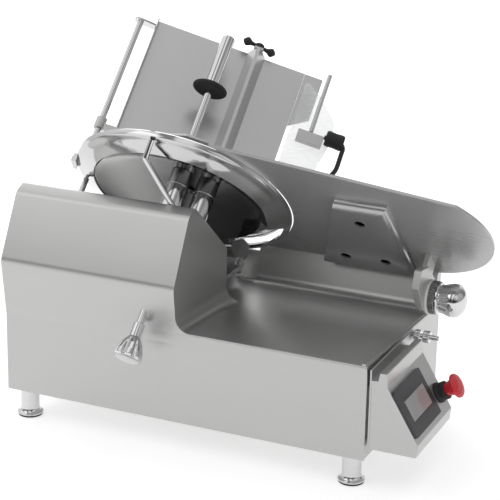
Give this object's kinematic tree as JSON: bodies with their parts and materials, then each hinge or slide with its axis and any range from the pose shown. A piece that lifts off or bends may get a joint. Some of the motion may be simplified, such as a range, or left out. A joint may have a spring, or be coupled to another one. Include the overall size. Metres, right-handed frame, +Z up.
{
  "type": "deli meat slicer",
  "caption": "Inclined-knife meat slicer: sheet-steel body, leaning round knife with guard ring, gauge plate, thickness knob, side console and sliding product table.",
  "frame": {"origin": "middle of the front left foot's underside, on the table", "axes": "+X along the front towards the console, +Y from the front wall to the carriage's rails, +Z up"},
  "size_m": [0.765, 0.5547, 0.6302],
  "materials": {
    "steel_sheet": "satin brushed stainless sheet",
    "steel_polished": "polished",
    "chrome": "bright chrome plate",
    "steel_machined": "machined",
    "cast": "cast, satin",
    "iron": "painted dark",
    "motor": "satin dark paint",
    "black_plastic": "matt black",
    "bezel": "satin dark grey",
    "screen": "glossy light grey",
    "white_plastic": "satin white",
    "red_plastic": "glossy red",
    "rubber": "matt black",
    "clear": "clear, polished"
  },
  "bodies": {
    "base": {"main_cover": "steel_sheet", "left_end_panel": "steel_sheet", "right_end_panel": "steel_sheet", "bottom_plate": "steel_sheet", "base_frame": "iron", "feet": "chrome", "foot_pads": "rubber", "motor_plate": "cast", "knife_motor": "motor", "drive_belt": "rubber", "knife_bearings": "steel_machined", "shaft_housing": "cast", "pillars": "chrome", "pillar_caps": "chrome", "knife_shield": "steel_polished", "ring_guard": "steel_polished", "ring_posts": "chrome", "guard_rod": "chrome", "deflector_bracket": "steel_machined", "gauge_lug": "cast", "dial_plate": "white_plastic", "console_box": "steel_sheet", "console_bezel": "bezel", "console_screen": "screen", "stop_collar": "black_plastic", "power_inlet": "black_plastic", "carriage_rails": "chrome", "rail_brackets": "cast", "rail_cover": "steel_sheet"},
    "knife_rotor": {"knife": "steel_polished", "knife_screws": "steel_machined", "knife_cover": "steel_polished", "knife_shaft": "steel_machined", "knife_pulley": "steel_machined"},
    "motor_rotor": {"motor_pulley": "steel_machined"},
    "gauge": {"gauge_plate": "steel_sheet", "gauge_bracket": "steel_sheet", "gauge_bolts": "steel_machined", "gauge_tongue": "cast"},
    "gauge_knob": {"thickness_knob": "chrome", "knob_collar": "black_plastic"},
    "release": {"release_knob": "chrome"},
    "latch": {"latch_knob": "chrome"},
    "stop": {"stop_button": "red_plastic"},
    "deflector": {"slice_deflector": "steel_sheet"},
    "carriage": {"carriage_block": "cast", "carriage_arm": "steel_sheet", "product_table": "steel_sheet", "table_panel": "steel_sheet", "guide_rod": "chrome", "clear_guard": "clear", "guard_tube": "steel_machined", "carriage_handle": "black_plastic", "handle_lever": "black_plastic"},
    "pusher": {"pusher_slider": "cast", "pusher_plate": "steel_sheet", "pusher_disc": "black_plastic", "pusher_handle": "chrome"},
    "fence_body": {"fence": "steel_sheet"},
    "wing": {"wing_knob": "black_plastic"}
  },
  "joints": [
    {"name": "knife_spin", "type": "hinge", "parent": "base", "child": "knife_rotor", "pos_m": [0.202, 0.176, 0.377], "axis": [0, 0.7071, 0.7071], "continuous": true},
    {"name": "motor_spin", "type": "hinge", "parent": "base", "child": "motor_rotor", "pos_m": [0.072, 0.08903, 0.29003], "axis": [0, 0.7071, 0.7071], "continuous": true},
    {"name": "gauge_slide", "type": "slide", "parent": "base", "child": "gauge", "axis": [0, -0.7071, -0.7071], "range_m": [0, 0.015]},
    {"name": "gauge_turn", "type": "hinge", "parent": "base", "child": "gauge_knob", "pos_m": [0.618, 0.246, 0.234], "axis": [1, 0, 0], "range_deg": [0, 300]},
    {"name": "release_slide", "type": "slide", "parent": "base", "child": "release", "axis": [0, 0.7071, 0.7071], "range_m": [-0.012, 0], "stiffness_N_per_m": 400, "springref_m": 0.004},
    {"name": "latch_slide", "type": "slide", "parent": "base", "child": "latch", "axis": [1, 0, 0], "range_m": [0, 0.01], "stiffness_N_per_m": 300, "springref_m": -0.004},
    {"name": "stop_press", "type": "slide", "parent": "base", "child": "stop", "axis": [-0.8513, 0, -0.5247], "range_m": [0, 0.004], "stiffness_N_per_m": 800, "springref_m": -0.002},
    {"name": "deflector_swing", "type": "hinge", "parent": "base", "child": "deflector", "pos_m": [0.266, 0.27217, 0.23841], "axis": [0, 0.7071, 0.7071], "range_deg": [-10, 8]},
    {"name": "carriage_slide", "type": "slide", "parent": "base", "child": "carriage", "axis": [1, 0, 0], "range_m": [0, 0.31]},
    {"name": "pusher_slide", "type": "slide", "parent": "carriage", "child": "pusher", "axis": [0, 0.7071, 0.7071], "range_m": [-0.034, 0.18]},
    {"name": "fence_slide", "type": "slide", "parent": "carriage", "child": "fence_body", "axis": [0.8988, 0.31, -0.31], "range_m": [0, 0.07]},
    {"name": "wing_turn", "type": "hinge", "parent": "fence_body", "child": "wing", "pos_m": [0.23085, 0.40438, 0.57289], "axis": [0, 0.7071, 0.7071], "range_deg": [-90, 90]}
  ],
  "couplings": [
    {"joint": "motor_spin", "follows": "knife_spin", "ratio": 1},
    {"joint": "gauge_turn", "follows": "gauge_slide", "rad_per_m": 349.07}
  ]
}
